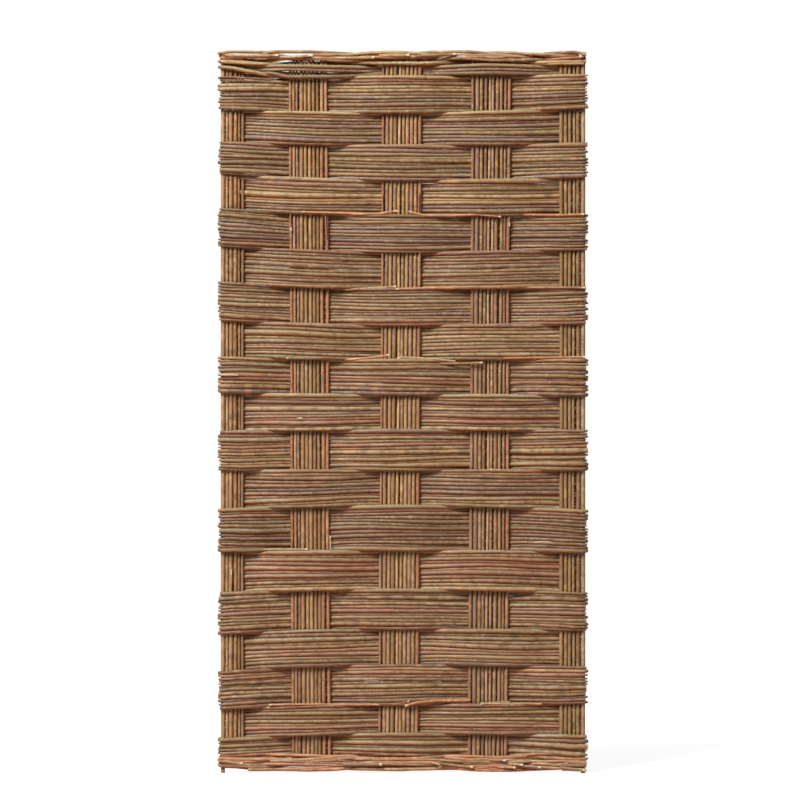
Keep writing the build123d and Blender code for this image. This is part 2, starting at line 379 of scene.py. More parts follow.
def add_node(tree, kind, inputs=None, **settings):
    """A node of that kind, with its settings and unlinked inputs."""
    node = tree.nodes.new(kind)
    for key, value in settings.items():
        setattr(node, key, value)
    for key, value in (inputs or {}).items():
        if isinstance(value, bpy.types.NodeSocket):
            tree.links.new(value, node.inputs[key])
        else:
            node.inputs[key].default_value = value
    return node


def maths(tree, operation, first, second=0.0, third=0.0):
    """Output of a Math node."""
    return add_node(tree, "ShaderNodeMath", {0: first, 1: second, 2: third}, operation=operation).outputs[0]


def vector_maths(tree, operation, first, second=(0, 0, 0), scale=None):
    """Vector output of a Vector Math node."""
    inputs = {0: first, 1: second}
    if scale is not None:
        inputs[3] = scale
    return add_node(tree, "ShaderNodeVectorMath", inputs, operation=operation).outputs[0]


def mapped(tree, value, low, high, to_low=0.0, to_high=1.0):
    """A value carried over from one range to another, and kept inside it."""
    return add_node(tree, "ShaderNodeMapRange", {"Value": value, "From Min": low, "From Max": high,
                                                 "To Min": to_low, "To Max": to_high}).outputs[0]


def mixed(tree, share, first, second, blend_type="MIX"):
    """A colour between two colours, or their product."""
    return add_node(tree, "ShaderNodeMix", {0: share, 6: first, 7: second}, data_type="RGBA",
                    blend_type=blend_type).outputs[2]


def rod_noise(tree, place, number, scale, detail, roughness=0.5):
    """Outputs of a noise that differs from rod to rod."""
    inputs = {"Vector": place, "W": number, "Scale": scale, "Detail": detail, "Roughness": roughness}
    return add_node(tree, "ShaderNodeTexNoise", inputs, noise_dimensions="4D").outputs


# Materials

def bare_material(name):
    """A new material, with its node tree and its shader."""
    material = bpy.data.materials.new(name)
    material.use_nodes = True
    return material, material.node_tree, material.node_tree.nodes["Principled BSDF"]


def bark_material(name, stretch, redness, lightness):
    """Bark of a willow rod. The attribute tone picks the rod's colour, and the grain runs along it."""
    bark = bpy.context.scene.willow_bark
    material, tree, shader = bare_material(name)
    place = add_node(tree, "ShaderNodeTexCoord").outputs["Object"]
    tone = add_node(tree, "ShaderNodeAttribute", attribute_name="tone").outputs["Fac"]
    number = maths(tree, "MULTIPLY", tone, 61.0)

    ramp = add_node(tree, "ShaderNodeValToRGB", {0: tone})
    ramp.color_ramp.interpolation = "LINEAR"
    stops = ((0.0, bark.grey), (0.16, bark.grey), (0.30, bark.brown), (0.52, bark.olive), (0.74, bark.ochre),
             (0.88, bark.russet), (0.985, bark.russet), (1.0, bark.orange))
    while len(ramp.color_ramp.elements) < len(stops):
        ramp.color_ramp.elements.new(0.5)
    for element, (position, colour) in zip(ramp.color_ramp.elements, stops):
        element.position = position
        element.color = (*colour, 1.0)

    along = add_node(tree, "ShaderNodeMapping", {"Vector": place, "Scale": stretch}).outputs[0]
    shorter = tuple(max(0.25, part) for part in stretch)
    partly_along = add_node(tree, "ShaderNodeMapping", {"Vector": place, "Scale": shorter}).outputs[0]
    mottle = rod_noise(tree, partly_along, number, 120.0, 2.0, 0.6)["Fac"]
    streaks = rod_noise(tree, along, number, 260.0, 4.0, 0.6)["Fac"]
    patches = rod_noise(tree, along, number, 28.0, 3.0, 0.55)["Fac"]
    flecks = rod_noise(tree, place, number, 170.0, 2.0)["Fac"]
    hues = rod_noise(tree, place, number, 12.0, 1.0)["Fac"]

    # Redder low on the panel and here and there along a rod, and greyer in long patches
    height = add_node(tree, "ShaderNodeSeparateXYZ", {0: place}).outputs["Z"]
    reddish = maths(tree, "ADD", mapped(tree, height, 1.5, 0.1, 0.0, redness),
                    mapped(tree, hues, 0.35, 0.7, 0.0, 0.25))
    colour = mixed(tree, reddish, ramp.outputs[0], (*bark.russet, 1.0))
    colour = mixed(tree, mapped(tree, patches, 0.5, 0.72, 0.0, 0.6), colour, GREY_PATCH)

    # Painted light by the way the bark faces: a cool, greener painted highlight tint where it faces up, and a
    # more orange painted shade underneath
    normal = add_node(tree, "ShaderNodeNewGeometry").outputs["Normal"]
    upward = add_node(tree, "ShaderNodeSeparateXYZ", {0: normal}).outputs["Z"]
    painted_light_tint = mixed(tree, mapped(tree, upward, -0.62, 0.42), PAINTED_SHADE_TINT, PAINTED_HIGHLIGHT_TINT)
    colour = mixed(tree, 1.0, colour, painted_light_tint, "MULTIPLY")

    # Each rod has a lightness of its own, which fine streaks and mottles vary, and a few pale flecks
    own = add_node(tree, "ShaderNodeTexWhiteNoise", {"W": number}, noise_dimensions="1D").outputs["Value"]
    level = mapped(tree, own, 0.0, 1.0, 0.70 * lightness, 1.32 * lightness)
    level = maths(tree, "MULTIPLY", level, mapped(tree, streaks, 0.3, 0.7, 0.72, 1.25))
    level = maths(tree, "MULTIPLY", level, mapped(tree, mottle, 0.32, 0.68, 0.86, 1.17))
    colour = mixed(tree, 1.0, colour, level, "MULTIPLY")
    colour = mixed(tree, mapped(tree, flecks, 0.66, 0.72, 0.0, 0.6), colour, PALE_FLECK)
    tree.links.new(colour, shader.inputs["Base Color"])

    shader.inputs["Specular IOR Level"].default_value = 0.35
    tree.links.new(mapped(tree, streaks, 0.3, 0.7, 0.42, 0.62), shader.inputs["Roughness"])
    relief = maths(tree, "ADD", maths(tree, "MULTIPLY", streaks, 0.6), maths(tree, "MULTIPLY", flecks, 0.6))
    bump = add_node(tree, "ShaderNodeBump", {"Strength": 0.55, "Distance": 0.0006, "Height": relief})
    tree.links.new(bump.outputs[0], shader.inputs["Normal"])
    return material


def cut_material(name):
    """Pale cut wood with a fine, darker grain."""
    material, tree, shader = bare_material(name)
    place = add_node(tree, "ShaderNodeTexCoord").outputs["Object"]
    noise = add_node(tree, "ShaderNodeTexNoise", {"Vector": place, "Scale": 900.0, "Detail": 3.0})
    grain = noise.outputs["Fac"]
    colour = mixed(tree, grain, (*bpy.context.scene.willow_bark.cut_wood, 1.0), DARK_GRAIN)
    tree.links.new(colour, shader.inputs["Base Color"])
    shader.inputs["Roughness"].default_value = 0.75
    bump = add_node(tree, "ShaderNodeBump", {"Strength": 0.4, "Distance": 0.0004, "Height": grain})
    tree.links.new(bump.outputs[0], shader.inputs["Normal"])
    return material


def floor_material(name, colour):
    """Floor that shows white behind the panel and still takes its shadow."""
    material, tree, shader = bare_material(name)
    shader.inputs["Base Color"].default_value = (*colour, 1.0)
    shader.inputs["Roughness"].default_value = 0.9
    shader.inputs["Specular IOR Level"].default_value = 0.0
    shader.inputs["Emission Color"].default_value = WHITE
    rays = add_node(tree, "ShaderNodeLightPath").outputs
    seen = maths(tree, "MAXIMUM", rays["Is Camera Ray"], rays["Is Glossy Ray"])
    seen = maths(tree, "MAXIMUM", seen, rays["Is Transmission Ray"])
    tree.links.new(maths(tree, "MULTIPLY", seen, FLOOR_GLOW), shader.inputs["Emission Strength"])
    return material


# Geometry Nodes

def rod_inputs():
    """Sizes and seed of the rods' node group, by the names of its inputs."""
    settings = bpy.context.scene.willow_rods
    return {"Sides": settings.sides, "Step": settings.step, "Unevenness": settings.uneven,
            "Kink": settings.kink, "Bud Spacing": settings.bud_spacing, "Bud Size": settings.bud_size,
            "Seed": settings.seed}


def rod_tree(name):
    """Geometry Nodes: bark-on rods with buds along the edges of a path mesh.

    The path's points carry the attributes thickness (the rod's radius) and tone (its colour)."""
    tree = bpy.data.node_groups.new(name, "GeometryNodeTree")
    face = tree.interface
    face.new_socket("Geometry", in_out="INPUT", socket_type="NodeSocketGeometry")
    for label, value in rod_inputs().items():
        kind = "NodeSocketInt" if isinstance(value, int) else "NodeSocketFloat"
        face.new_socket(label, in_out="INPUT", socket_type=kind).default_value = value
    for label in ("Bark", "Cut End"):
        face.new_socket(label, in_out="INPUT", socket_type="NodeSocketMaterial")
    face.new_socket("Geometry", in_out="OUTPUT", socket_type="NodeSocketGeometry")
    start = add_node(tree, "NodeGroupInput").outputs
    end = add_node(tree, "NodeGroupOutput")

    # Smooth lines through the points of the path, which wander a little
    line = add_node(tree, "GeometryNodeMeshToCurve", {0: start["Geometry"]})
    smooth_line = add_node(tree, "GeometryNodeCurveSplineType", {0: line.outputs[0]},
                           spline_type="CATMULL_ROM")
    stepped = add_node(tree, "GeometryNodeResampleCurve", {"Curve": smooth_line.outputs[0],
                                                          "Length": start["Step"]}, mode="LENGTH")
    place = add_node(tree, "GeometryNodeInputPosition").outputs[0]
    tone = add_node(tree, "GeometryNodeInputNamedAttribute", {"Name": "tone"}, data_type="FLOAT").outputs[0]
    number = maths(tree, "MULTIPLY_ADD", tone, 97.0, start["Seed"])

    wander = rod_noise(tree, place, number, 22.0, 1.0)["Color"]
    shift = vector_maths(tree, "SUBTRACT", wander, (0.5, 0.5, 0.5))
    shift = vector_maths(tree, "MULTIPLY", shift, (0.3, 2.0, 2.0))
    shift = vector_maths(tree, "SCALE", shift, scale=start["Kink"])
    kinked = add_node(tree, "GeometryNodeSetPosition", {"Geometry": stepped.outputs[0], "Offset": shift})

    # Rods along the lines, which swell and thin
    thickness = add_node(tree, "GeometryNodeInputNamedAttribute", {"Name": "thickness"},
                         data_type="FLOAT").outputs[0]
    swell = maths(tree, "SUBTRACT", rod_noise(tree, place, number, 46.0, 2.0)["Fac"], 0.52)
    swell = maths(tree, "MULTIPLY_ADD", swell, maths(tree, "MULTIPLY", start["Unevenness"], 2.0), 0.985)
    radius = maths(tree, "MULTIPLY", thickness, swell)

    ring = add_node(tree, "GeometryNodeCurvePrimitiveCircle", {"Resolution": start["Sides"], "Radius": 1.0})
    rods = add_node(tree, "GeometryNodeCurveToMesh", {"Curve": kinked.outputs[0],
                                                     "Profile Curve": ring.outputs[0], "Scale": radius,
                                                     "Fill Caps": True})

    # Buds at even steps, each turned its own way round the rod and half sunk into its bark
    inner = add_node(tree, "GeometryNodeTrimCurve", {0: kinked.outputs[0], 2: 0.015, 3: 0.985}, mode="FACTOR")
    knots = add_node(tree, "GeometryNodeCurveToPoints", {"Curve": inner.outputs[0],
                                                        "Length": start["Bud Spacing"]}, mode="LENGTH")
    turn = add_node(tree, "FunctionNodeRandomValue", {2: 0.0, 3: 2 * math.pi, "Seed": start["Seed"]},
                    data_type="FLOAT")
    outward = add_node(tree, "ShaderNodeVectorRotate", {"Vector": knots.outputs["Normal"],
                                                       "Axis": knots.outputs["Tangent"],
                                                       "Angle": turn.outputs[1]})
    lift = vector_maths(tree, "SCALE", outward.outputs[0], scale=maths(tree, "MULTIPLY", thickness, 0.93))
    seated = add_node(tree, "GeometryNodeSetPosition", {"Geometry": knots.outputs["Points"], "Offset": lift})
    facing = add_node(tree, "FunctionNodeAxesToRotation", {"Primary Axis": knots.outputs["Tangent"],
                                                          "Secondary Axis": outward.outputs[0]},
                      primary_axis="Z", secondary_axis="X")
    bud = add_node(tree, "GeometryNodeMeshUVSphere", {"Segments": 5, "Rings": 4, "Radius": 0.5})
    bud_shape = add_node(tree, "GeometryNodeTransform", {"Geometry": bud.outputs[0],
                                                        "Scale": (0.34, 0.55, 1.0)})
    size = add_node(tree, "FunctionNodeRandomValue", {2: 0.45, 3: 1.25, "Seed": start["Seed"]},
                    data_type="FLOAT")
    bud_scale = maths(tree, "MULTIPLY", size.outputs[1], start["Bud Size"])
    buds = add_node(tree, "GeometryNodeInstanceOnPoints", {"Points": seated.outputs[0],
                                                          "Instance": bud_shape.outputs[0],
                                                          "Rotation": facing.outputs[0], "Scale": bud_scale})

    # Bark on all faces but the flat ends of the rods, which have more than four corners
    joined = add_node(tree, "GeometryNodeJoinGeometry")
    tree.links.new(buds.outputs[0], joined.inputs[0])
    tree.links.new(rods.outputs[0], joined.inputs[0])
    real = add_node(tree, "GeometryNodeRealizeInstances", {0: joined.outputs[0]})
    corners = add_node(tree, "FunctionNodeCompare", data_type="INT", operation="GREATER_THAN")
    corner_count = add_node(tree, "GeometryNodeInputMeshFaceNeighbors").outputs["Vertex Count"]
    tree.links.new(corner_count, corners.inputs[2])
    corners.inputs[3].default_value = 4
    is_cap = corners.outputs[0]
    round_sides = add_node(tree, "GeometryNodeSetShadeSmooth", {"Geometry": real.outputs[0]})
    barked = add_node(tree, "GeometryNodeSetMaterial", {"Geometry": round_sides.outputs[0],
                                                       "Material": start["Bark"]})
    capped = add_node(tree, "GeometryNodeSetMaterial", {"Geometry": barked.outputs[0], "Selection": is_cap,
                                                       "Material": start["Cut End"]})
    tree.links.new(capped.outputs[0], end.inputs[0])
    return tree


def made_tree(name):
    """The rods' node group, made once."""
    return bpy.data.node_groups.get(name) or rod_tree(name)


def made_material(name, make, *values):
    """A material, made once."""
    return bpy.data.materials.get(name) or make(name, *values)


def made_bark(name):
    """One of the three common barks, made once."""
    return made_material(name, bark_material, *BARKS[name])


def grow_rods(name, rods, nodes, slot, bark, **changes):
    """One piece of the panel: every rod is (points in mm, radii in mm, tone)."""
    verts, edges, thickness, tones = [], [], [], []
    for points, radii, tone in rods:
        first = len(verts)
        verts.extend(Vector(point) * MM for point in points)
        edges.extend((first + i, first + i + 1) for i in range(len(points) - 1))
        thickness.extend(radius * MM for radius in radii)
        tones.extend([tone] * len(points))
    path = bpy.data.meshes.new(name + "_path")
    path.from_pydata(verts, edges, [])
    path.attributes.new("thickness", "FLOAT", "POINT").data.foreach_set("value", thickness)
    path.attributes.new("tone", "FLOAT", "POINT").data.foreach_set("value", tones)
    guide = bpy.data.objects.new(name + "_path", path)
    bpy.context.scene.collection.objects.link(guide)
    modifier = guide.modifiers.new("Rods", "NODES")
    modifier.node_group = made_tree("Bark-on rods")
    values = {**rod_inputs(), "Bark": bark, "Cut End": made_material("Cut willow", cut_material), **changes}
    for item in modifier.node_group.interface.items_tree:
        if item.item_type == "SOCKET" and item.in_out == "INPUT" and item.name in values:
            modifier[item.identifier] = values[item.name]
    ready = bpy.context.evaluated_depsgraph_get()
    mesh = bpy.data.meshes.new_from_object(guide.evaluated_get(ready), depsgraph=ready)
    bpy.data.objects.remove(guide)
    mesh.name = name
    piece = bpy.data.objects.new(name, mesh)
    bpy.context.scene.collection.objects.link(piece)
    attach(piece, "root")
    if nodes:
        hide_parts(*nodes)
    return piece


# Shapes of the weave

def eased(stations, values, x):
    """A smooth curve through the values at the stations, which never swings past them."""
    if x <= stations[0]:
        return values[0]
    for i in range(1, len(stations)):
        if x <= stations[i]:
            break
    else:
        return values[-1]

    def slope(k):
        if k in (0, len(stations) - 1):
            return 0.0
        before = (values[k] - values[k - 1]) / (stations[k] - stations[k - 1])
        after = (values[k + 1] - values[k]) / (stations[k + 1] - stations[k])
        return 0.0 if before * after <= 0 else 2 * before * after / (before + after)

    span = stations[i] - stations[i - 1]
    t = (x - stations[i - 1]) / span
    return ((1 + 2 * t) * (1 - t) ** 2 * values[i - 1] + t * (1 - t) ** 2 * span * slope(i - 1)
            + t * t * (3 - 2 * t) * values[i] + t * t * (t - 1) * span * slope(i))


def even_steps(start, end, steps=60):
    """Places at even steps from start to end."""
    return [start + i * (end - start) / steps for i in range(steps + 1)]


def bunch_centre(name, height):
    """Where the middle of an inner upright bunch stands at a height, because the bunches lean a little."""
    foot_x, top_x, _, _ = INNER_BUNCHES[name]
    return foot_x + (top_x - foot_x) * height / PANEL_HEIGHT


def side_of(row, bunch):
    """-1 where a weft row passes in front of an upright bunch, and +1 where it passes behind."""
    return -1 if (row + bunch) % 2 == 0 else 1


def depth_line(row, height):
    """Places across the panel, and how far the row stands off there towards the back."""
    points = [(-x, side_of(row, 0) * out) for x, out in END_SWING]
    for bunch, name in enumerate(INNER_BUNCHES, start=1):
        centre = bunch_centre(name, height)
        points += [(centre + off, side_of(row, bunch) * out) for off, out in INNER_SWING]
    points += [(x, side_of(row, 4) * out) for x, out in reversed(END_SWING)]
    return tuple(zip(*points))


def row_edges():
    """Heights in mm of the edges between the weft bunches, from the top: centre, left lift, right lift."""
    edges = [(WEAVE_TOP, TOP_EDGE_LIFT, TOP_EDGE_LIFT)]
    for _, height, left, right in WEFT_BUNCHES:
        edges.append((edges[-1][0] - height, left, right))
    return edges


def edge_height(edges, index, x):
    """Height of an edge between two bunches, which bows towards the ends of the panel."""
    height, left, right = edges[index]
    return height + (left if x < 0 else right) * (x / LIFT_X) ** 2


def pick_tone(chance, low):
    """Colour of a rod: mostly olive and brown, some ochre, and more russet ones low down."""
    draw = chance.random()
    if draw < 0.15 - 0.05 * low:
        return chance.uniform(0.04, 0.2)
    if draw < 0.42:
        return chance.uniform(0.24, 0.42)
    if draw < 0.74 - 0.1 * low:
        return chance.uniform(0.42, 0.62)
    if draw < 0.90 - 0.08 * low:
        return chance.uniform(0.64, 0.8)
    return chance.uniform(0.84, 0.98)


def rod_traits(count, low, chance):
    """What chance gives each rod of a weft bunch: thickness, taper, swelling, depth, tone and room."""
    rods = []
    for i in range(count):
        rods.append({
            "base": chance.uniform(3.8, 5.2), "butt": chance.choice((-1, 1)) * chance.uniform(0.05, 0.27),
            "wave": chance.uniform(0.006, 0.016), "phase": chance.uniform(0.0, 6.28),
            "deep": (i % 2 - 0.5) * DEPTH_STEP + chance.uniform(-0.3, 0.3), "tone": pick_tone(chance, low),
            "room": chance.uniform(0.1, 1.4), "left_room": 0.0, "right_room": 0.0,
        })
    for side in ("left_room", "right_room"):
        for rod in chance.sample(rods[1:], min(3, count - 1)):
            rod[side] = chance.uniform(1.5, 6.0)
    return rods


def width_at(rod, x):
    """Thickness of a rod at x, before it is fitted into its bunch."""
    swollen = 1 + SWELLING * math.sin(rod["wave"] * x + rod["phase"])
    return rod["base"] * (1 + rod["butt"] * x / TAPER_X) * swollen


def weft_rods(row, chance):
    """The rods of one weft bunch, stacked one above the other at every station across the panel."""
    edges = row_edges()
    middle = (edges[row - 1][0] + edges[row][0]) / 2
    xs, ys = depth_line(row, middle)
    rods = rod_traits(WEFT_BUNCHES[row - 1][0], 1 - middle / PANEL_HEIGHT, chance)
    lines = [[] for _ in rods]
    sizes = [[] for _ in rods]
    for x in even_steps(-STAKE_X, STAKE_X):
        depth = eased(xs, ys, x)
        spread = 1.0 + 1.1 * (depth / DEEPEST) ** 2
        top = edge_height(edges, row - 1, x) + (spread if row > 1 else 0.0)
        bottom = edge_height(edges, row, x) - (spread if row < len(WEFT_BUNCHES) else 0.0)
        outer = min(1.0, max(0.0, (abs(x) - ENDS_FROM) / ENDS_LENGTH))
        widths = [width_at(rod, x) for rod in rods]
        radii = [PACKING * (top - bottom) * w / sum(widths) * (1 - 0.12 * outer) / 2 for w in widths]
        rooms = [rod["room"] + outer * (rod["left_room"] if x < 0 else rod["right_room"]) for rod in rods]
        free = (top - bottom - 2 * sum(radii)) / sum(rooms)
        fan = eased(*FAN_SHARE, x) if row == 2 else 0.0
        z = top
        for i, rod in enumerate(rods):
            z -= rooms[i] * free / 2 + radii[i]
            height = z
            if row == 1:
                height = eased(*zip(*FILLER_LINES[i]), x)
            elif fan:
                height = z * (1 - fan) + LEFT_FAN[i] * fan
            y = min(max(depth + rod["deep"], FRONT + 1.08 * radii[i]), BACK - 1.08 * radii[i])
            lines[i].append((x, y, height))
            sizes[i].append(min(radii[i], THICKEST_FILLER) if row == 1 else radii[i])
            z -= rooms[i] * free / 2 + radii[i]
    made = []
    for i, rod in enumerate(rods):
        line, size = finish_end(lines[i], sizes[i], -1, side_of(row, 0), chance)
        line, size = finish_end(line[::-1], size[::-1], 1, side_of(row, 4), chance)
        made.append((line, size, rod["tone"]))
    return made


def finish_end(line, size, side, facing, chance):
    """Ends a rod at the stake: short behind it, and in front of it bent round, cut square or thinned out."""
    x, y, z = line[0]
    r = size[0]
    kind = chance.random()
    shift = chance.uniform(-1.8, 1.8)
    if facing > 0:
        extra = [(chance.uniform(*HIDDEN_END), y, z, END_SHARE)]
    elif kind < BENT:
        ring = STAKE_RADIUS + r + 0.3
        extra = []
        for turn in BEND_TURNS:
            angle = math.radians(turn)
            reach = min(ring * math.cos(angle), WIDEST - STAKE_X - r)
            extra.append((STAKE_X + reach, ring * math.sin(angle), z + shift * (turn + 90) / 90.0, END_SHARE))
        extra.append((STAKE_X - 14, ring + 1.5, z + 2.2 * shift, END_SHARE))
        extra.append((STAKE_X - chance.uniform(*TURNED_BACK), ring + 2.4, z + 2.6 * shift, END_SHARE))
    elif kind < BENT_OR_CUT:
        extra = [(chance.uniform(HALF_WIDTH, WIDEST - 1.0), y, z + shift / 2, END_SHARE)]
    else:
        reach = chance.uniform(THIN_END, WIDEST - 1.0)
        extra = [(STAKE_X + 2, y, z + shift / 3, 0.8), (reach, y, z + shift / 2, 0.5)]
    points = [(side * far, depth, height) for far, depth, height, _ in extra]
    return points[::-1] + line, [r * share for _, _, _, share in extra][::-1] + size


def upright_rods(foot_x, top_x, count, spacing, foot, chance):
    """Rods side by side in one flat layer, which wander a little as they rise."""
    radii = [chance.uniform(*UPRIGHT_RADIUS) for _ in range(count)]
    gaps = [chance.choice(UPRIGHT_GAPS) for _ in range(count)]
    width = spacing * count
    scale = width / sum(2 * r + g for r, g in zip(radii, gaps))
    made = []
    x = -width / 2
    for number, (r, g) in enumerate(zip(radii, gaps)):
        slot = (2 * r + g) * scale
        radius = min(r * scale, UPRIGHT_RADIUS[1])
        phase, wave = chance.uniform(0, 6.28), chance.uniform(0.003, 0.008)
        free = max(0.2, (slot - 2 * radius) / 2)
        low, high = foot + chance.uniform(-6, 6), UPRIGHT_TOP - chance.uniform(0, 14)
        line, size = [], []
        for i, z in enumerate(even_steps(low, high, UPRIGHT_STEPS)):
            lean = foot_x + (top_x - foot_x) * z / PANEL_HEIGHT
            line.append((lean + x + slot / 2 + free * math.sin(wave * z + phase), 0.0, z))
            size.append(radius * (1.03 - 0.08 * i / UPRIGHT_STEPS))
        tone = chance.choice(UPRIGHT_TONES) + chance.uniform(-0.04, 0.04)
        # Olive and ochre beside the stakes, and russet on the outside of an inner bunch
        if count == EDGE_RODS:
            tone = 0.28 + 0.58 * tone
        elif number in (0, count - 1):
            tone = 0.8 + 0.1 * tone
        made.append((line, size, tone))
        x += slot
    return made


def border_line(first_side, radius, changes, knots):
    """One rod of a twisted pair, which passes before or behind the upright bunches in turn."""
    xs, ys = [-PAST_THE_ENDS], [first_side * BORDER_SWING]
    side = first_side
    for place in changes:
        xs += [place - BORDER_CHANGE, place, place + BORDER_CHANGE]
        ys += [side * BORDER_SWING, 0.0, -side * BORDER_SWING]
        side = -side
    xs.append(PAST_THE_ENDS)
    ys.append(side * BORDER_SWING)
    far, high = zip(*knots)
    line, size = [], []
    for x in even_steps(far[0], far[-1], 80):
        size.append(radius * (1.0 + 0.08 * math.sin(0.006 * x + high[0])))
        line.append((x, eased(xs, ys, x), min(eased(far, high, x), TOP - 1.05 * size[-1])))
    return line, size


def hook_round_stake(line, size, side, back):
    """Carries a border rod round the end stake to the other face, a little higher or lower."""
    x, y, z = line[0]
    r = size[0]
    ring = STAKE_RADIUS + r
    extra = []
    for turn in HOOK_TURNS:
        angle = math.radians(turn)
        reach = min(ring * math.cos(angle), BORDER_WIDEST - STAKE_X - r)
        extra.append((side * (STAKE_X + reach), ring * math.sin(angle), z + back * (turn + 50) / 140))
    extra.append((side * (STAKE_X - HOOK_LENGTH), ring + 1.0, z + 1.2 * back))
    kept = [i for i, point in enumerate(line) if side * point[0] < STAKE_X - 4]
    return extra[::-1] + [line[i] for i in kept], [0.95 * r] * len(extra) + [size[i] for i in kept]


def laid_in_line(side, radius, height, start, end, changes, chance):
    """A thinner rod that follows the border and wanders a little up and down between its neighbours."""
    knots = [(x, height + chance.uniform(-3.6, 3.6)) for x in even_steps(start, end, 9)]
    return border_line(side, radius, changes, knots)


def gap_line(number):
    """A rod behind the uprights, at the height between two of the filler rods."""
    heights = (BORDER_RODS["top_border_rod_2b"][4], *FILLER_LINES, BELOW_FILLERS)
    above, below = (tuple(zip(*knots)) for knots in heights[number:number + 2])
    xs, ys = depth_line(1, WEAVE_TOP)
    return [(x, max(GAP_ROD_DEPTH, eased(xs, ys, x)), (eased(*above, x) + eased(*below, x)) / 2)
            for x in even_steps(-451, 451)]


def cut_face(points, radius):
    """A pale slanted face in front of the end of a cut rod."""
    tip = Vector(points[-1])
    along = (tip - Vector(points[-2])).normalized()
    forward = Vector((0.0, -0.42 * radius, 0.08 * radius))
    line = [tip - along * 9 + forward * 0.8, tip - along * 4 + 1.4 * forward, tip + along * 0.8 + forward]
    return line, [0.5 * radius, 0.95 * radius, 0.98 * radius], 0.5


def even_rods(table):
    """Rods that are each equally thick all along, from a table of line, radius and tone."""
    return [(points, [radius] * len(points), tone) for points, radius, tone in table]


# Operators, one for each group of pieces

class WILLOW_OT_stage(bpy.types.Operator):
    """Makes the camera, the pale floor, the soft lamps and the sky"""
    bl_idname = "willow.stage"
    bl_label = "Make Stage"

    def execute(self, context):
        values = context.scene.willow_stage
        scene = context.scene
        data = bpy.data.cameras.new("Front camera")
        data.sensor_width = SENSOR
        data.lens = SENSOR * CAMERA_DISTANCE / VIEW_WIDTH
        data.clip_end = 100.0
        camera = bpy.data.objects.new("Front camera", data)
        camera.location = (CAMERA_X, -CAMERA_DISTANCE, CAMERA_HEIGHT)
        camera.rotation_euler = (math.pi / 2, 0.0, 0.0)
        scene.collection.objects.link(camera)
        scene.camera = camera

        turns = even_steps(0.0, 2 * math.pi, FLOOR_CORNERS)[:-1]
        corners = [(FLOOR_RADIUS * math.cos(turn), FLOOR_RADIUS * math.sin(turn), 0) for turn in turns]
        mesh = bpy.data.meshes.new("Floor")
        mesh.from_pydata(corners, [], [tuple(range(FLOOR_CORNERS))])
        mesh.materials.append(floor_material("Floor paint", values.floor))
        floor = bpy.data.objects.new("Floor", mesh)
        scene.collection.objects.link(floor)

        for name, power, size, place in LAMPS:
            lamp = bpy.data.lights.new(name, "AREA")
            lamp.shape = "DISK"
            lamp.size = size
            lamp.energy = getattr(values, power)
            holder = bpy.data.objects.new(name, lamp)
            holder.location = place
            holder.rotation_euler = (LAMP_TARGET - Vector(place)).to_track_quat("-Z", "Y").to_euler()
            scene.collection.objects.link(holder)

        world = bpy.data.worlds.new("Plain sky")
        world.use_nodes = True
        scene.world = world
        tree = world.node_tree
        sky = tree.nodes["Background"]
        seen = add_node(tree, "ShaderNodeLightPath").outputs["Is Camera Ray"]
        tree.links.new(mixed(tree, seen, SKY_COLOUR, WHITE), sky.inputs["Color"])
        tree.links.new(mapped(tree, seen, 0.0, 1.0, values.sky, 1.0), sky.inputs["Strength"])
        scene.view_settings.view_transform = "Standard"
        return {"FINISHED"}


class WILLOW_OT_end_stakes(bpy.types.Operator):
    """Grows the thick stake at each end of the panel"""
    bl_idname = "willow.end_stakes"
    bl_label = "Grow End Stakes"

    def execute(self, context):
        bark = made_bark("Upright bark")
        for name, side, tone in (("left_end_stake", -1, 0.62), ("right_end_stake", 1, 0.5)):
            line = [(side * STAKE_X, 0.0, z) for z in even_steps(0.0, STAKE_TOP, UPRIGHT_STEPS)]
            grow_rods(name + "_rod", even_rods([(line, GROWN_STAKE_RADIUS, tone)]), [name], "stakes", bark,
                      Sides=14, Kink=0.0, Unevenness=0.03)
        return {"FINISHED"}


class WILLOW_OT_upright_bunches(bpy.types.Operator):
    """Grows the upright rods of the three inner bunches and beside the stakes"""
    bl_idname = "willow.upright_bunches"
    bl_label = "Grow Upright Bunches"

    def execute(self, context):
        chance = random.Random(UPRIGHT_SEED)
        for name, (foot_x, top_x, count, spacing) in INNER_BUNCHES.items():
            rods = upright_rods(foot_x, top_x, count, spacing, INNER_FOOT, chance)
            grow_rods(name + "_rods", rods, [name], "upright_rods", made_bark("Upright bark"))
        for name, (middle, spacing, lightness) in EDGE_BUNCHES.items():
            bark = made_material(name + "_bark", bark_material, UPWARDS, UPRIGHT_REDNESS, lightness)
            rods = upright_rods(middle, middle, EDGE_RODS, spacing, EDGE_FOOT, chance)
            grow_rods(name + "_rods", rods, [name], "upright_rods", bark)
        return {"FINISHED"}


class WILLOW_OT_weft_bunches(bpy.types.Operator):
    """Weaves the bunches of rods that run across the panel"""
    bl_idname = "willow.weft_bunches"
    bl_label = "Weave Weft Bunches"

    def execute(self, context):
        chance = random.Random(context.scene.willow_rods.seed)
        for row in range(1, len(WEFT_BUNCHES) + 1):
            node = f"weft_bunch_{row:02d}"
            grow_rods(node + "_rods", weft_rods(row, chance), [node], "weft_rods", made_bark("Weft bark"))
        return {"FINISHED"}


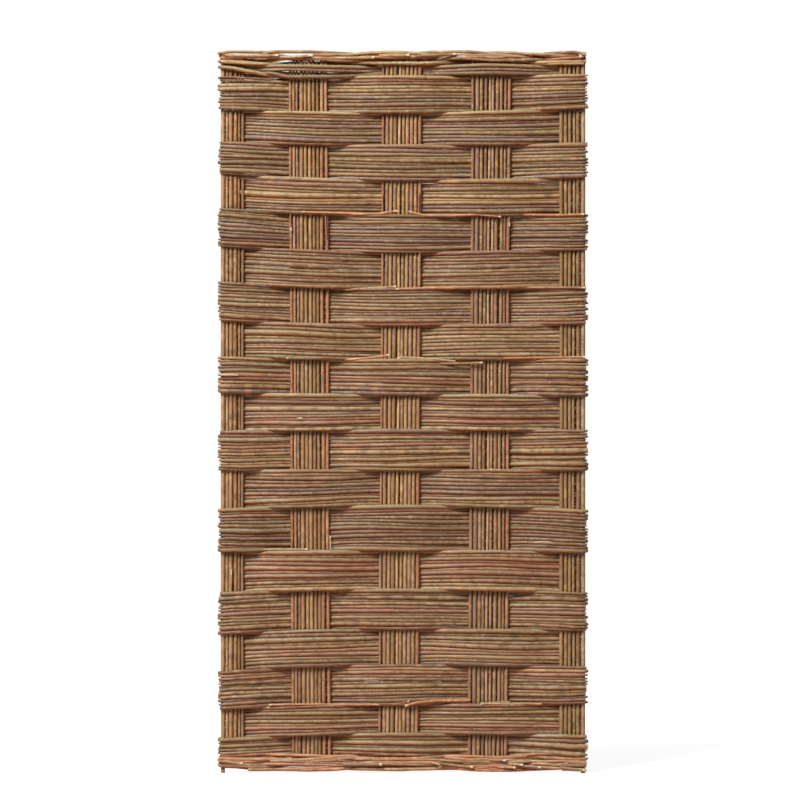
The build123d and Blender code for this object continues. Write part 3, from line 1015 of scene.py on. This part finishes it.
class WILLOW_OT_borders(bpy.types.Operator):
    """Twists the pairs of rods along the top and the bottom, and lays more rods into them"""
    bl_idname = "willow.borders"
    bl_label = "Twist Borders"

    def execute(self, context):
        bark = made_bark("Border bark")
        for node, (first_side, radius, tone, changes, knots) in BORDER_RODS.items():
            line, size = border_line(first_side, radius, changes, knots)
            if first_side < 0:
                line, size = hook_round_stake(line, size, -1, HOOK_LIFT[node.split("_")[0]])
            grow_rods(node + "_willow", [(line, size, tone)], [node], "border_rods", bark)
        chance = random.Random(LAID_IN_SEED)
        for name, rows in LAID_IN_RODS.items():
            rods = []
            for side, radius, height, tone, start, end in rows:
                changes = [place + chance.uniform(-40, 40) for place in BORDER_CROSSINGS]
                rods.append((*laid_in_line(side, radius, height, start, end, changes, chance), tone))
            if name.startswith("top"):
                rods += even_rods((gap_line(i), 4.2, 0.25 + 0.15 * i) for i in range(len(FILLER_LINES) + 1))
                rods += even_rods((line, 4.4, 0.4) for line in FAN_BACKING)
            grow_rods(name, rods, [], "border_rods", bark)
        return {"FINISHED"}


class WILLOW_OT_loose_ends(bpy.types.Operator):
    """Adds the short cut ends, thin shoots and peeled strips that stand out of the weave"""
    bl_idname = "willow.loose_ends"
    bl_label = "Add Loose Ends"

    def execute(self, context):
        stubs = []
        for i, (start, end, radius) in enumerate(STUBS):
            middle = tuple((a + b) / 2 for a, b in zip(start, end))
            tone = (0.11 + 0.37 * i) % 0.9
            stubs.append(((start, middle, end), radius, tone))
        cut_rods = even_rods((*stubs, *ENDING_RODS))
        grow_rods("loose_cut_ends", cut_rods, [], "weft_rods", made_bark("Border bark"), **SHORT_ROD)
        grow_rods("loose_shoots", even_rods(SHOOTS), [], "weft_rods", made_bark("Upright bark"),
                  Sides=7, **SHORT_ROD)
        wood = made_material("Cut willow", cut_material)
        peels = even_rods((points, radius, 0.5) for points, radius in PEELS)
        grow_rods("peeled_strips", peels, [], "weft_rods", wood, Sides=7, **SHORT_ROD)
        faces = [cut_face(points, sizes[-1]) for points, sizes, _ in cut_rods]
        grow_rods("slanted_cut_faces", faces, [], "weft_rods", wood, Kink=0.0, Unevenness=0.0, **SHORT_ROD)
        return {"FINISHED"}


# Panel in the sidebar, and the steps in order

class WILLOW_PT_panel(bpy.types.Panel):
    """Sizes, colours and steps of the willow panel"""
    bl_idname = "WILLOW_PT_panel"
    bl_label = "Willow Panel"
    bl_space_type = "VIEW_3D"
    bl_region_type = "UI"
    bl_category = "Willow Panel"

    def draw(self, context):
        layout = self.layout
        scene = context.scene
        for settings in (scene.willow_rods, scene.willow_bark, scene.willow_stage):
            box = layout.box()
            for key in settings.bl_rna.properties.keys():
                if key not in ("rna_type", "name"):
                    box.prop(settings, key)
        for step in STEPS:
            layout.operator(step.bl_idname)


STEPS = (WILLOW_OT_stage, WILLOW_OT_end_stakes, WILLOW_OT_upright_bunches, WILLOW_OT_weft_bunches,
         WILLOW_OT_borders, WILLOW_OT_loose_ends)
CLASSES = (WillowRodSettings, WillowBarkSettings, WillowStageSettings, *STEPS, WILLOW_PT_panel)


def register():
    for item in CLASSES:
        bpy.utils.register_class(item)
    bpy.types.Scene.willow_rods = bpy.props.PointerProperty(type=WillowRodSettings)
    bpy.types.Scene.willow_bark = bpy.props.PointerProperty(type=WillowBarkSettings)
    bpy.types.Scene.willow_stage = bpy.props.PointerProperty(type=WillowStageSettings)


def unregister():
    del bpy.types.Scene.willow_stage
    del bpy.types.Scene.willow_bark
    del bpy.types.Scene.willow_rods
    for item in reversed(CLASSES):
        bpy.utils.unregister_class(item)


def main():
    """Grows the panel on its stage."""
    register()
    bpy.ops.willow.stage()
    bpy.ops.willow.end_stakes()
    bpy.ops.willow.upright_bunches()
    bpy.ops.willow.weft_bunches()
    bpy.ops.willow.borders()
    bpy.ops.willow.loose_ends()


if __name__ == "__main__":
    main()
